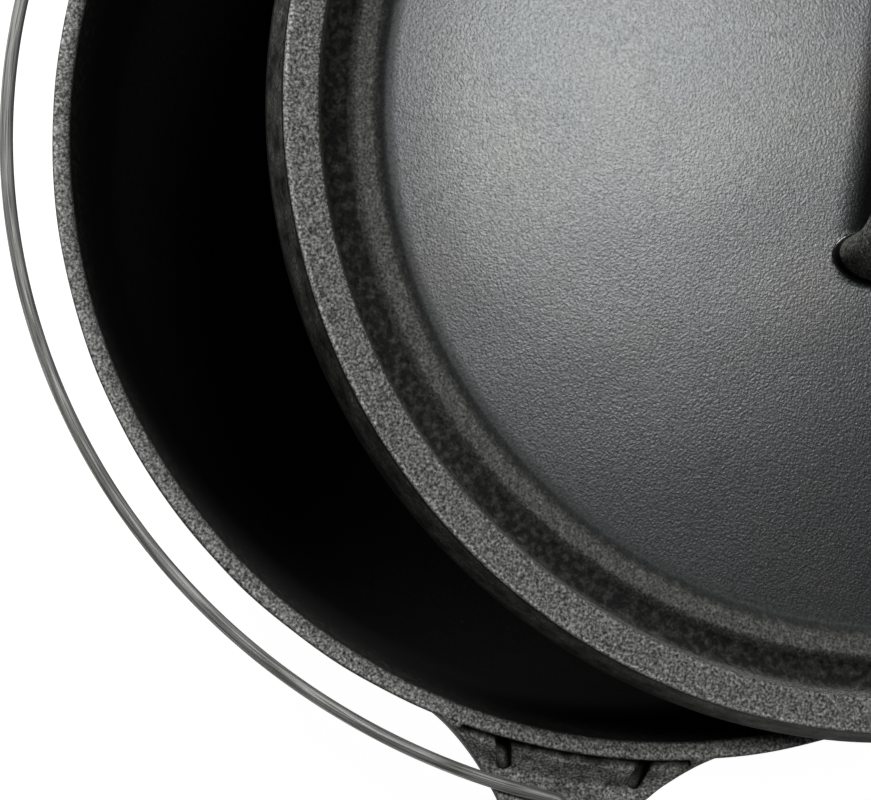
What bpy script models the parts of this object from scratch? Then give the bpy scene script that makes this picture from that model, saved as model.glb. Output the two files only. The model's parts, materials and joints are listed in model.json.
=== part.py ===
# Cast iron pot with a loose cast lid and a wire bail.
# The origin is the middle of the flat base, the ears lie on the X axis,
# and the bail lies down toward -Y. The lid stands ajar on the rim.

from math import acos, asin, atan, cos, pi, radians, sin, tan

import bmesh
import bpy
from mathutils import Matrix, Vector

MM = 0.001
SEAT_GAP = 0.3 * MM             # air left between pieces that rest on each other
CUTTER_REACH = 25.0 * MM        # cutters run this far past what they cut
TURN_STEPS = 80                 # facets round a turned piece
SMALL_ARC_STEPS = 3             # facets round a small corner
LARGE_ARC_STEPS = 8             # and round a large one
LARGE_ARC = 10.0 * MM           # radius from which a corner is large
SMOOTH_ANGLE = radians(35.0)    # edges sharper than this stay sharp
ON_AXIS = 0.0001 * MM           # a profile point this close to the axis lies on it

# Pot casting
RIM_RADIUS = 150.0 * MM         # outer edge of the flat rim
RIM_WIDTH = 4.5 * MM            # flat top of the rim, and the wall below it
RIM_ROUND = 0.8 * MM
POT_HEIGHT = 120.0 * MM
COLLAR_HEIGHT = 6.0 * MM        # straight band below the rim
COLLAR_STEP = 1.0 * MM          # the wall stands this far behind the band
WALL_DRAFT = radians(6.0)
BASE_THICKNESS = 5.5 * MM
BASE_CORNER = 30.0 * MM         # outside, where the wall runs into the base

# Wire bail
WIRE_DIAMETER = 3.3 * MM
BAIL_MIDDLE_GAP = 11.1 * MM     # from the rim's edge to the wire's centre, at the bail's middle
BAIL_WAIST_GAP = 9.4 * MM       # and where the wire comes closest
BAIL_WAIST_ANGLE = radians(57.0)
HINGE_DROP = 6.0 * MM           # hinge line below the rim
HOOK_BEND = 3.0 * MM            # centreline radius where the wire turns into the eye
HOOK_LEG = 4.5 * MM             # straight between that bend and the bow
HOOK_TAIL = 3.5 * MM            # wire left outside the eye

# Ears
EAR_BURIED_SHARE = 0.8          # of the wall, taken up by the ear's root
EAR_ROOT_ANGLE = radians(13.1)  # half the arc that an ear takes on the rim
EAR_ROOT_SLOPE = radians(60.0)  # the flank's first and last direction, from the ear's axis
EAR_TIP_SLOPE = radians(32.0)
EAR_ROOT_PULL = 8.0 * MM        # how far those directions hold
EAR_TIP_PULL = 7.0 * MM
EAR_SHOULDER = 15.2 * MM        # half width where the flank ends
EAR_SHOULDER_INSET = 4.2 * MM   # and its distance back from the tip
EAR_TIP_ROUND = 4.0 * MM
EAR_TIP_DEPTH = 5.0 * MM        # height of the ear at its tip and at the wall
EAR_ROOT_DEPTH = 15.0 * MM
EAR_RIM_STEP = 0.6 * MM         # the ear starts this far below the rim
EAR_RAMP = 7.0 * MM             # the ear's top falls to its shelf over this length
EYE_GAP = 0.6 * MM              # between the wire's leg and the eye
EYE_THICKNESS = 5.0 * MM
EYE_RADIUS = 6.0 * MM
EYE_HALF_WIDTH = 8.0 * MM       # where the eye stands on the ear
EYE_SINK = 1.5 * MM             # of the eye's foot in the ear
EYE_SIDE_ANGLE = radians(12.0)  # where the round top of the eye meets its straight side
EYE_CLEARANCE = 0.5 * MM        # round the wire
GROOVE_ANGLE = radians(10.8)    # half the arc of the groove between the rim and the ear
GROOVE_WIDTH = 2.2 * MM
GROOVE_DEPTH = 4.5 * MM         # below the rim
SLOT_OFFSET = 17.4 * MM         # of each slot's inner end from the ear's axis
SLOT_LENGTH = 6.6 * MM          # out from the rim
SLOT_WIDTH = 3.0 * MM
SLOT_LEAN = radians(14.0)       # toward the ear's axis, going out
SLOT_DEPTH = 3.5 * MM           # below the shelf
CUT_ROUND = 0.9 * MM            # outer corners of the groove and the slots

# Lid casting
LID_OVERHANG = 2.0 * MM         # past the rim, when the lid is shut
LID_DRAFT = 3.1 * MM            # the edge narrows by this much to its top
LID_EDGE_HEIGHT = 17.0 * MM     # seat to the top of the edge
LID_EDGE_ROUND = 2.0 * MM       # lower corner
LID_TOP_ROUND = 0.6 * MM
BAND_WIDTH = 8.2 * MM           # flat top of the edge
BAND_ROUND = 0.7 * MM
GUTTER_DEPTH = 10.0 * MM
GUTTER_WIDTH = 9.0 * MM         # band to bead
GUTTER_SLOPE = 2.0 * MM         # the gutter's outer wall leans by this much
GUTTER_ROUND = 3.0 * MM
BEAD_WIDTH = 5.8 * MM
BEAD_HEIGHT = 2.0 * MM          # at its crown
BEAD_INNER_HEIGHT = 1.4 * MM    # where it ends
BEAD_STEP = 2.6 * MM            # from the bead in to the flat of the lid
DOME_RISE = 5.0 * MM
DISH_DEPTH = 6.0 * MM           # hollow of the underside
DISH_MARGIN = 5.0 * MM          # the hollow stays this far inside the rim it rests on
LIP_CLEARANCE = 2.0 * MM        # in the mouth of the pot, all round
LIP_THICKNESS = 4.0 * MM
LIP_HEIGHT = 6.5 * MM
LIP_ROOT_ROUND = 2.0 * MM

# The lid's loop
LOOP_HALF_SPAN = 36.0 * MM      # of its centreline
LOOP_HEIGHT = 26.0 * MM         # of its centreline, above the lid
LOOP_WIDTH = 15.0 * MM
LOOP_THICKNESS = 9.0 * MM
LOOP_SHAPE = 0.6                # 1 is a half round, less is squarer
LOOP_FLARE = 0.35               # share by which the feet widen
LOOP_FLARE_POWER = 6            # higher keeps that widening closer to the feet
LOOP_SINK = 3.0 * MM            # of the feet in the lid

# Where the lid lies
LID_SHIFT = 52.1 * MM           # lid's middle from the pot's axis
LID_SHIFT_ANGLE = radians(105.6)  # its direction, from +X toward +Y

# Sizes that follow from those above
WIRE_RADIUS = WIRE_DIAMETER / 2
MOUTH_RADIUS = RIM_RADIUS - RIM_WIDTH
HINGE_Z = POT_HEIGHT - HINGE_DROP
SHELF_Z = HINGE_Z - WIRE_RADIUS - SEAT_GAP
EAR_TOP_Z = POT_HEIGHT - EAR_RIM_STEP
LIP_RADIUS = MOUTH_RADIUS - LIP_CLEARANCE
LIP_INNER_RADIUS = LIP_RADIUS - LIP_THICKNESS
LID_RADIUS = RIM_RADIUS + LID_OVERHANG
LID_TOP_RADIUS = LID_RADIUS - LID_DRAFT
BAND_INNER_RADIUS = LID_TOP_RADIUS - BAND_WIDTH
BEAD_RADIUS = BAND_INNER_RADIUS - GUTTER_WIDTH
FLOOR_RADIUS = BEAD_RADIUS - BEAD_WIDTH - BEAD_STEP
GUTTER_Z = LID_EDGE_HEIGHT - GUTTER_DEPTH


def bail_radius(angle):
    """Distance from the pot's axis to the wire, by the angle from its middle."""
    waist = cos(BAIL_WAIST_ANGLE)
    swell = (BAIL_MIDDLE_GAP - BAIL_WAIST_GAP) / (1 - waist) ** 2
    return RIM_RADIUS + BAIL_WAIST_GAP + swell * (cos(angle) - waist) ** 2


LEG_X = bail_radius(pi / 2)     # the bail's leg, beside the ear
EYE_INNER_X = LEG_X + WIRE_RADIUS + EYE_GAP
EYE_OUTER_X = EYE_INNER_X + EYE_THICKNESS
EAR_TIP_X = EYE_OUTER_X + SEAT_GAP


def material(name, colour, roughness, metallic):
    """A plain Principled material in linear colour."""
    made = bpy.data.materials.new(name)
    made.use_nodes = True
    shader = made.node_tree.nodes["Principled BSDF"]
    shader.inputs["Base Color"].default_value = (*colour, 1.0)
    shader.inputs["Roughness"].default_value = roughness
    shader.inputs["Metallic"].default_value = metallic
    made.diffuse_color = (*colour, 1.0)
    return made


def new_object(name, mesh, finish=None):
    """Link a mesh as an object; one without a finish is only a cutter or a guide."""
    made = bpy.data.objects.new(name, mesh)
    bpy.context.collection.objects.link(made)
    if finish:
        mesh.materials.append(finish)
    else:
        made.hide_render = True
        made.display_type = "WIRE"
    return made


def finish_mesh(name, work):
    """Turn a bmesh into a smooth-shaded mesh with its faces pointing out."""
    bmesh.ops.recalc_face_normals(work, faces=work.faces)
    mesh = bpy.data.meshes.new(name)
    work.to_mesh(mesh)
    work.free()
    mesh.shade_smooth()
    mesh.set_sharp_from_angle(angle=SMOOTH_ANGLE)
    return mesh


def rounded(outline, closed=False):
    """Replace each corner (a, b, radius) of an outline by an arc of that radius."""
    points = []
    count = len(outline)
    for index, (a, b, radius) in enumerate(outline):
        here = Vector((a, b))
        at_end = not closed and index in (0, count - 1)
        if radius == 0 or at_end:
            points.append(here)
            continue
        back = (Vector(outline[index - 1][:2]) - here).normalized()
        ahead = (Vector(outline[(index + 1) % count][:2]) - here).normalized()
        half = back.angle(ahead) / 2
        middle = here + (back + ahead).normalized() * (radius / sin(half))
        start = here + back * (radius / tan(half)) - middle
        end = here + ahead * (radius / tan(half)) - middle
        sweep = start.angle_signed(end)
        steps = SMALL_ARC_STEPS if radius < LARGE_ARC else LARGE_ARC_STEPS
        for step in range(steps + 1):
            turn = Matrix.Rotation(-sweep * step / steps, 2)
            points.append(middle + turn @ start)
    return points


def turned(name, profile):
    """Revolve (radius, height) points about Z, as a ring or from axis to axis."""
    work = bmesh.new()
    rings = []
    for radius, height in profile:
        if radius < ON_AXIS:
            rings.append([work.verts.new((0, 0, height))] * TURN_STEPS)
            continue
        ring = []
        for step in range(TURN_STEPS):
            angle = 2 * pi * step / TURN_STEPS
            ring.append(work.verts.new((radius * cos(angle), radius * sin(angle), height)))
        rings.append(ring)
    pairs = list(zip(rings, rings[1:]))
    if profile[0][0] > ON_AXIS:
        pairs.append((rings[-1], rings[0]))
    for low, high in pairs:
        for step in range(TURN_STEPS):
            after = (step + 1) % TURN_STEPS
            corners = [low[step], low[after], high[after], high[step]]
            work.faces.new(list(dict.fromkeys(corners)))
    return finish_mesh(name, work)


def extruded(name, outline, low, high, place):
    """Extrude a closed outline from one height to another, then place it."""
    work = bmesh.new()
    face = work.faces.new([work.verts.new((a, b, low)) for a, b in outline])
    grown = bmesh.ops.extrude_face_region(work, geom=[face])
    upper = [item for item in grown["geom"] if isinstance(item, bmesh.types.BMVert)]
    bmesh.ops.translate(work, verts=upper, vec=(0, 0, high - low))
    bmesh.ops.transform(work, matrix=place, verts=work.verts)
    return finish_mesh(name, work)


def boolean(target, tool, operation):
    """Add a Boolean modifier that keeps its exact solver."""
    cut = target.modifiers.new(tool.name, "BOOLEAN")
    cut.operation = operation
    cut.object = tool


def polar(radius, angle):
    """A point in the XY plane."""
    return Vector((radius * cos(angle), radius * sin(angle)))


def wall_radius(top_radius, drop):
    """Radius of a drafted wall, that far below the height where it has top_radius."""
    return top_radius - drop * tan(WALL_DRAFT)


def pot_profile():
    """Base, outside wall, collar, rim and inside wall, from axis to axis."""
    collar_foot = POT_HEIGHT - COLLAR_HEIGHT
    wall_top = collar_foot - COLLAR_STEP
    wall_top_radius = RIM_RADIUS - COLLAR_STEP
    return rounded([
        (0, 0, 0),
        (wall_radius(wall_top_radius, wall_top), 0, BASE_CORNER),
        (wall_top_radius, wall_top, 0),
        (RIM_RADIUS, collar_foot, 0),
        (RIM_RADIUS, POT_HEIGHT, RIM_ROUND),
        (MOUTH_RADIUS, POT_HEIGHT, RIM_ROUND),
        (wall_radius(MOUTH_RADIUS, POT_HEIGHT - BASE_THICKNESS), BASE_THICKNESS, BASE_CORNER - RIM_WIDTH),
        (0, BASE_THICKNESS, 0),
    ])


def dome_height(radius):
    """Height of the lid's floor over the seat."""
    return GUTTER_Z + DOME_RISE * (1 - (radius / FLOOR_RADIUS) ** 2)


def lid_underside():
    """The hollow of the underside; heights start at the seat."""
    edge = RIM_RADIUS - LID_SHIFT - RIM_WIDTH - DISH_MARGIN
    steps = 6
    shares = [step / steps for step in range(steps + 1)]
    return [Vector((edge * share, DISH_DEPTH * (1 - share ** 2))) for share in shares]


def lid_bead():
    """The raised ring inside the gutter, without its first point."""
    end = pi - asin(BEAD_INNER_HEIGHT / BEAD_HEIGHT)
    steps = 5
    points = []
    for step in range(1, steps + 1):
        share = step / steps
        height = GUTTER_Z + BEAD_HEIGHT * sin(end * share)
        points.append(Vector((BEAD_RADIUS - BEAD_WIDTH * share, height)))
    return points


def lid_floor():
    """The low dome inside the bead, out to in."""
    steps = 8
    radii = [FLOOR_RADIUS * (1 - step / steps) for step in range(steps + 1)]
    return [Vector((radius, dome_height(radius))) for radius in radii]


def lid_profile():
    """Underside, lip, edge, gutter, bead and dome, from axis to axis."""
    underside = lid_underside()
    edge = rounded([
        (*underside[-1], 0),
        (LIP_INNER_RADIUS, 0, LIP_ROOT_ROUND),
        (LIP_INNER_RADIUS, -LIP_HEIGHT, 0),
        (LIP_RADIUS, -LIP_HEIGHT, 0),
        (LIP_RADIUS, 0, 0),
        (LID_RADIUS, 0, LID_EDGE_ROUND),
        (LID_TOP_RADIUS, LID_EDGE_HEIGHT, LID_TOP_ROUND),
        (BAND_INNER_RADIUS, LID_EDGE_HEIGHT, BAND_ROUND),
        (BAND_INNER_RADIUS - GUTTER_SLOPE, GUTTER_Z, GUTTER_ROUND),
        (BEAD_RADIUS, GUTTER_Z, 0),
    ])
    return underside + edge[1:] + lid_bead() + lid_floor()


def loop_path():
    """Centreline of the loop as (point, turn), a squared half round."""
    foot_z = dome_height(LOOP_HALF_SPAN) - LOOP_SINK
    steps = 22
    path = []
    for step in range(steps + 1):
        turn = pi * step / steps
        side = -1 if cos(turn) > 0 else 1
        x = side * LOOP_HALF_SPAN * abs(cos(turn)) ** LOOP_SHAPE
        z = foot_z + (LOOP_HEIGHT + LOOP_SINK) * sin(turn) ** LOOP_SHAPE
        path.append((Vector((x, 0, z)), turn))
    return path


def loop_handle():
    """The lid's cast handle: an oval bar bent to a low arch, with wider feet."""
    path = loop_path()
    last = len(path) - 1
    section_steps = 12
    side = Vector((0, 1, 0))
    work = bmesh.new()
    rows = []
    for index, (point, turn) in enumerate(path):
        along = (path[min(index + 1, last)][0] - path[max(index - 1, 0)][0]).normalized()
        if index in (0, last):
            along = Vector((0, 0, 1 if index == 0 else -1))
        out = side.cross(along)
        grow = 1 + LOOP_FLARE * abs(cos(turn)) ** LOOP_FLARE_POWER
        row = []
        for part in range(section_steps):
            angle = 2 * pi * part / section_steps
            offset = side * (LOOP_WIDTH / 2 * grow * cos(angle))
            offset += out * (LOOP_THICKNESS / 2 * grow * sin(angle))
            row.append(work.verts.new(point + offset))
        rows.append(row)
    for low, high in zip(rows, rows[1:]):
        for part in range(section_steps):
            after = (part + 1) % section_steps
            work.faces.new((low[part], low[after], high[after], high[part]))
    work.faces.new(rows[0])
    work.faces.new(rows[-1])
    return new_object("loop_handle_guide", finish_mesh("loop_handle", work))


def ear_outline():
    """Plan of one ear on +X: buried arc, flared flank, rounded tip, flank."""
    buried = RIM_RADIUS - EAR_BURIED_SHARE * RIM_WIDTH
    root = polar(RIM_RADIUS, EAR_ROOT_ANGLE)
    shoulder = Vector((EAR_TIP_X - EAR_SHOULDER_INSET, EAR_SHOULDER))
    root_hold = root + EAR_ROOT_PULL * Vector((cos(EAR_ROOT_SLOPE), -sin(EAR_ROOT_SLOPE)))
    tip_hold = shoulder - EAR_TIP_PULL * Vector((cos(EAR_TIP_SLOPE), -sin(EAR_TIP_SLOPE)))
    steps = 8
    flank = []
    for step in range(steps + 1):
        t = step / steps
        point = root * (1 - t) ** 3 + root_hold * 3 * t * (1 - t) ** 2
        point += tip_hold * 3 * t * t * (1 - t) + shoulder * t ** 3
        flank.append((point.x, point.y, 0))
    corner_y = EAR_SHOULDER - EAR_SHOULDER_INSET * tan(EAR_TIP_SLOPE)
    upper = flank + [(EAR_TIP_X, corner_y, EAR_TIP_ROUND)]
    lower = [(x, -y, radius) for x, y, radius in reversed(upper)]
    inner = []
    for step in range(steps + 1):
        point = polar(buried, EAR_ROOT_ANGLE * (2 * step / steps - 1))
        inner.append((point.x, point.y, 0))
    return rounded(inner + upper + lower, closed=True)


def groove_outline():
    """Plan of the groove beside the rim; its inner side lies in the pot's wall."""
    near = RIM_RADIUS - RIM_WIDTH / 2
    far = RIM_RADIUS + GROOVE_WIDTH
    steps = 6
    angles = [GROOVE_ANGLE * (2 * step / steps - 1) for step in range(steps + 1)]
    points = []
    for radius, run, corner in ((far, angles, CUT_ROUND), (near, angles[::-1], 0)):
        for angle in run:
            point = polar(radius, angle)
            points.append((point.x, point.y, corner if angle in (run[0], run[-1]) else 0))
    return rounded(points, closed=True)


def slot_outline(side):
    """Plan of one slot in the ear's top, on +Y or -Y of the eye."""
    along = Vector((cos(SLOT_LEAN), -side * sin(SLOT_LEAN)))
    across = Vector((-along.y, along.x)) * (SLOT_WIDTH / 2)
    start = Vector((RIM_RADIUS, side * SLOT_OFFSET)) - along * (RIM_WIDTH / 2)
    end = start + along * (RIM_WIDTH / 2 + SLOT_LENGTH)
    return rounded([
        (*(start - across), 0),
        (*(end - across), CUT_ROUND),
        (*(end + across), CUT_ROUND),
        (*(start + across), 0),
    ], closed=True)


def eye_outline():
    """Upright plate round the bail's hole: (along Y, height above the hinge)."""
    foot = SHELF_Z - HINGE_Z - EYE_SINK
    points = [Vector((-EYE_HALF_WIDTH, foot)), Vector((EYE_HALF_WIDTH, foot))]
    steps = 12
    for step in range(steps + 1):
        angle = EYE_SIDE_ANGLE + (pi - 2 * EYE_SIDE_ANGLE) * step / steps
        points.append(polar(EYE_RADIUS, angle))
    return points


def ear_top_profile():
    """What is cut off over the ear: a ramp down from the rim, then the shelf."""
    start = RIM_RADIUS + SEAT_GAP
    far = EAR_TIP_X + CUTTER_REACH
    return [
        Vector((start, EAR_TOP_Z)),
        Vector((RIM_RADIUS + EAR_RAMP, SHELF_Z)),
        Vector((far, SHELF_Z)),
        Vector((far, POT_HEIGHT + CUTTER_REACH)),
        Vector((start, POT_HEIGHT + CUTTER_REACH)),
    ]


def ear_under_profile():
    """What is cut off under the ear, which thins toward its tip."""
    root_z = SHELF_Z - EAR_ROOT_DEPTH
    tip_z = SHELF_Z - EAR_TIP_DEPTH
    far = EAR_TIP_X + CUTTER_REACH
    return [
        Vector((MOUTH_RADIUS, root_z - CUTTER_REACH)),
        Vector((MOUTH_RADIUS, root_z)),
        Vector((RIM_RADIUS, root_z)),
        Vector((EAR_TIP_X, tip_z)),
        Vector((far, tip_z)),
        Vector((far, root_z - CUTTER_REACH)),
    ]


def ear(side):
    """One ear as a guide solid; side is 1 on +X and -1 on -X."""
    word = "right" if side > 0 else "left"
    place = Matrix.Rotation(0 if side > 0 else pi, 4, "Z")
    # Upright outlines: their first axis runs along Y and their second up from the hinge.
    upright = place @ Matrix(((0, 0, 1, 0), (1, 0, 0, 0), (0, 1, 0, HINGE_Z), (0, 0, 0, 1)))
    steps = 20
    hole = [polar(WIRE_RADIUS + EYE_CLEARANCE, 2 * pi * step / steps) for step in range(steps)]
    block = new_object(f"ear_{word}_guide", extruded(
        "ear", ear_outline(), SHELF_Z - EAR_ROOT_DEPTH, EAR_TOP_Z, place))
    over = new_object(f"ear_{word}_top_cutter", turned("ear_top", ear_top_profile()))
    below = new_object(f"ear_{word}_under_cutter", turned("ear_under", ear_under_profile()))
    groove = new_object(f"ear_{word}_groove_cutter", extruded(
        "groove", groove_outline(), POT_HEIGHT - GROOVE_DEPTH, POT_HEIGHT + CUTTER_REACH, place))
    slots = [new_object(f"ear_{word}_slot_cutter", extruded(
        "slot", slot_outline(turn), SHELF_Z - SLOT_DEPTH, POT_HEIGHT + CUTTER_REACH, place)) for turn in (1, -1)]
    eye = new_object(f"ear_{word}_eye_guide", extruded(
        "eye", eye_outline(), EYE_INNER_X, EYE_OUTER_X, upright))
    bore = new_object(f"ear_{word}_hole_cutter", extruded(
        "hole", hole, EYE_INNER_X - EYE_THICKNESS, EYE_OUTER_X + EYE_THICKNESS, upright))
    boolean(block, over, "DIFFERENCE")
    boolean(block, below, "DIFFERENCE")
    for cutter in (groove, *slots):
        boolean(block, cutter, "DIFFERENCE")
    boolean(block, eye, "UNION")
    boolean(block, bore, "DIFFERENCE")
    return block


def pot_body(finish):
    """The pot casting with its two ears."""
    pot = new_object("pot_body", turned("pot_body", pot_profile()), finish)
    for side in (1, -1):
        boolean(pot, ear(side), "UNION")
    return pot


def bail_path():
    """Centreline of the bail as it lies down, about the hinge: right tail to left tail."""
    hook = [Vector((EAR_TIP_X + HOOK_TAIL, 0, 0))]
    bend_steps = 4
    for step in range(bend_steps + 1):
        angle = pi / 2 * step / bend_steps
        x = LEG_X + HOOK_BEND * (1 - sin(angle))
        hook.append(Vector((x, -HOOK_BEND * (1 - cos(angle)), 0)))
    first = acos((HOOK_BEND + HOOK_LEG) / LEG_X)
    bow_steps = 52
    bow = []
    for step in range(bow_steps + 1):
        angle = first * (1 - 2 * step / bow_steps)
        radius = bail_radius(angle)
        bow.append(Vector((radius * sin(angle), -radius * cos(angle), 0)))
    mirrored = [Vector((-point.x, point.y, 0)) for point in reversed(hook)]
    return hook + bow + mirrored


def bail_wire(finish):
    """The bent wire, with its origin on the hinge line."""
    curve = bpy.data.curves.new("bail_wire", "CURVE")
    curve.dimensions = "3D"
    curve.bevel_depth = WIRE_RADIUS
    curve.bevel_resolution = 4
    curve.use_fill_caps = True
    path = bail_path()
    spline = curve.splines.new("POLY")
    spline.points.add(len(path) - 1)
    for target, point in zip(spline.points, path):
        target.co = (*point, 1)
    curve.materials.append(finish)
    wire = bpy.data.objects.new("bail_wire", curve)
    bpy.context.collection.objects.link(wire)
    wire.location = (0, 0, HINGE_Z)
    return wire


def lid_pose():
    """Place and tilt of the lid as it stands ajar on the rim.

    The lip's inner edge crosses the rim's outer edge at two points and rests there,
    and the flat underside rests on the rim beyond them.
    """
    reach = RIM_RADIUS - RIM_ROUND
    crossing = (LID_SHIFT ** 2 + reach ** 2 - LIP_INNER_RADIUS ** 2) / (2 * LID_SHIFT)
    tilt = atan(LIP_HEIGHT / (reach - crossing))
    height = POT_HEIGHT + SEAT_GAP + (reach - LID_SHIFT) * tan(tilt)
    middle = polar(LID_SHIFT, LID_SHIFT_ANGLE)
    across = Vector((-sin(LID_SHIFT_ANGLE), cos(LID_SHIFT_ANGLE), 0))
    return Matrix.Translation((middle.x, middle.y, height)) @ Matrix.Rotation(tilt, 4, across)


def lid(finish):
    """The lid casting with its loop."""
    cover = new_object("lid", turned("lid", lid_profile()), finish)
    loop = loop_handle()
    boolean(cover, loop, "UNION")
    cover.matrix_world = lid_pose()
    loop.matrix_world = lid_pose()
    return cover


def main():
    for old in list(bpy.data.objects):
        bpy.data.objects.remove(old)
    cast_iron = material("seasoned_cast_iron", (0.035, 0.034, 0.034), 0.55, 0.4)
    steel = material("steel_wire", (0.20, 0.20, 0.20), 0.38, 1.0)
    pot_body(cast_iron)
    lid(cast_iron)
    bail_wire(steel)


main()
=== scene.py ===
import json
from math import acos, atan, atan2, ceil, cos, pi, radians, sin, sqrt, tan

import bmesh
import bpy
from mathutils import Matrix, Vector, noise


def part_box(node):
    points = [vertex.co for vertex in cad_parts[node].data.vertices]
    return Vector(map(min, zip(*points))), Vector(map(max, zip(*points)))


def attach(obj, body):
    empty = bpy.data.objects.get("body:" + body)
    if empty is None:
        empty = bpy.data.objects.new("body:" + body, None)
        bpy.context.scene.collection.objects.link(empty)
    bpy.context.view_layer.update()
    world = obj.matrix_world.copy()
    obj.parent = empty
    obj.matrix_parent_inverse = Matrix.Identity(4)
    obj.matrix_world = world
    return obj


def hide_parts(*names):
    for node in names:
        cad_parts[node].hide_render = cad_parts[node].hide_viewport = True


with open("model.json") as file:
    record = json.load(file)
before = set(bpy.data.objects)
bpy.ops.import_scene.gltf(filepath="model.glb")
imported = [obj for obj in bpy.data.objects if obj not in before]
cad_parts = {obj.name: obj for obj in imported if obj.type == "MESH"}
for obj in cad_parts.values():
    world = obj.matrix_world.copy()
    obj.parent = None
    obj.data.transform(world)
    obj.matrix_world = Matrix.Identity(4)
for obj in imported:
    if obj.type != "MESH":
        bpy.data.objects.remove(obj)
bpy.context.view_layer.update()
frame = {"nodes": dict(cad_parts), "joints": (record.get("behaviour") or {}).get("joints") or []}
print("frame loaded:", sorted(frame["nodes"]))

# Cast iron pot seen from almost straight above, its lid ajar and its wire bail lying down.
# Blender works in metres. The pieces are sized in mm, and a size times mm is in metres.
mm = 0.001
potLow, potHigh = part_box("pot_body")
bailLow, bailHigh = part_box("bail_wire")
hingeZ = next(joint["pos_m"][2] for joint in frame["joints"] if joint["name"] == "bail_swing")


def linear(hexColour):
    channels = [int(hexColour[i:i + 2], 16) / 255 for i in (1, 3, 5)]
    return [c / 12.92 if c <= 0.04045 else ((c + 0.055) / 1.055) ** 2.4 for c in channels] + [1.0]


def addNode(tree, kind, inputs=None, out=0, **settings):
    # an input is a value or another node's socket; what comes back is the wanted output
    node = tree.nodes.new(kind)
    for key, value in settings.items():
        setattr(node, key, value)
    for key, value in (inputs or {}).items():
        if isinstance(value, bpy.types.NodeSocket):
            tree.links.new(value, node.inputs[key])
        else:
            node.inputs[key].default_value = value
    return node.outputs[out] if node.outputs else node


# Camera: the photograph is a tilted crop, so the camera is rolled as well as leaned.
# "Level" is the photograph turned back upright: x to its right, y away from the viewer.
shot = {
    "levelToPart": radians(59.0),       # turns a level direction into the part's frame
    "aim": (-3.59 * mm, -84.93 * mm),   # level place on the rim's plane at the picture's middle
    "distance": 1.0,
    "leanFront": radians(5.0),          # off the vertical, toward the viewer
    "leanLeft": radians(2.0),
    "roll": radians(39.97),             # of the level picture in the photograph
    "focalPixels": 4133.4,
    "pixelsAcross": 871,
    "sensor": 36.0,
    "clipEnd": 20.0,
}


def fromLevel(x, y, z=0.0):
    return Matrix.Rotation(shot["levelToPart"], 4, "Z") @ Vector((x, y, z))


def makeCamera():
    back = Vector((-tan(shot["leanLeft"]), -tan(shot["leanFront"]), 1)).normalized()
    right = Vector((0, 1, 0)).cross(back).normalized()
    up = back.cross(right)
    across = right * cos(shot["roll"]) + up * sin(shot["roll"])
    above = up * cos(shot["roll"]) - right * sin(shot["roll"])
    place = Vector((*shot["aim"], 0)) + back * shot["distance"]
    axes = [fromLevel(*axis) for axis in (across, above, back)]
    world = Matrix((axes[0], axes[1], axes[2])).transposed().to_4x4()
    world.translation = fromLevel(*place) + Vector((0, 0, potHigh.z))
    lens = bpy.data.cameras.new("camera")
    lens.sensor_width = shot["sensor"]
    lens.lens = shot["focalPixels"] / shot["pixelsAcross"] * shot["sensor"]
    lens.clip_end = shot["clipEnd"]
    camera = bpy.data.objects.new("camera", lens)
    camera.matrix_world = world
    bpy.context.scene.collection.objects.link(camera)
    bpy.context.scene.camera = camera
    print("camera placed:", [round(v, 3) for v in world.translation])


# Studio: a soft box overhead, a little behind, and one low on the far left; a white floor, a dim room.
studio = {
    "overFrom": (0.00, 0.39, 1.69),     # level place, over the rim's plane
    "overSize": (0.45, 0.45),
    "overWatts": 12.0,
    "sideFrom": (-1.25, 0.62, 0.62),
    "sideSize": (0.5, 0.5),
    "sideWatts": 22.0,
    "lampColour": "#fcfdff",
    "roomColour": "#f2f4f6",
    "roomStrength": 0.055,
    "floorColour": "#a6a6a4",
    "floorShown": 0.98,                 # how white the floor is to the camera before any light
    "floorSize": 3.0,
    "floorBelow": 0.2 * mm,             # the pot's base
}


def makeLamp(name, place, size, watts):
    light = bpy.data.lights.new(name, "AREA")
    light.shape = "RECTANGLE"
    light.size, light.size_y = size
    light.energy = watts
    light.color = linear(studio["lampColour"])[:3]
    lamp = bpy.data.objects.new(name, light)
    target = Vector((0, 0, potHigh.z))
    here = fromLevel(*place) + target
    turned = (here - target).to_track_quat("Z", "Y").to_matrix()
    lamp.matrix_world = Matrix.Translation(here) @ turned.to_4x4()
    bpy.context.scene.collection.objects.link(lamp)


def makeStudio():
    makeLamp("over_lamp", studio["overFrom"], studio["overSize"], studio["overWatts"])
    makeLamp("side_lamp", studio["sideFrom"], studio["sideSize"], studio["sideWatts"])
    world = bpy.data.worlds.new("room")
    world.use_nodes = True
    room = world.node_tree.nodes["Background"]
    room.inputs["Color"].default_value = linear(studio["roomColour"])
    room.inputs["Strength"].default_value = studio["roomStrength"]
    bpy.context.scene.world = world
    half = studio["floorSize"] / 2
    mesh = bpy.data.meshes.new("studio_floor")
    corners = [(-half, -half, 0), (half, -half, 0), (half, half, 0), (-half, half, 0)]
    mesh.from_pydata(corners, [], [(0, 1, 2, 3)])
    mesh.materials.append(whitePaper())
    floor = bpy.data.objects.new("studio_floor", mesh)
    floor.location.z = -studio["floorBelow"]
    bpy.context.scene.collection.objects.link(floor)
    bpy.context.scene.view_settings.view_transform = "Standard"
    print("studio set")


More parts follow.
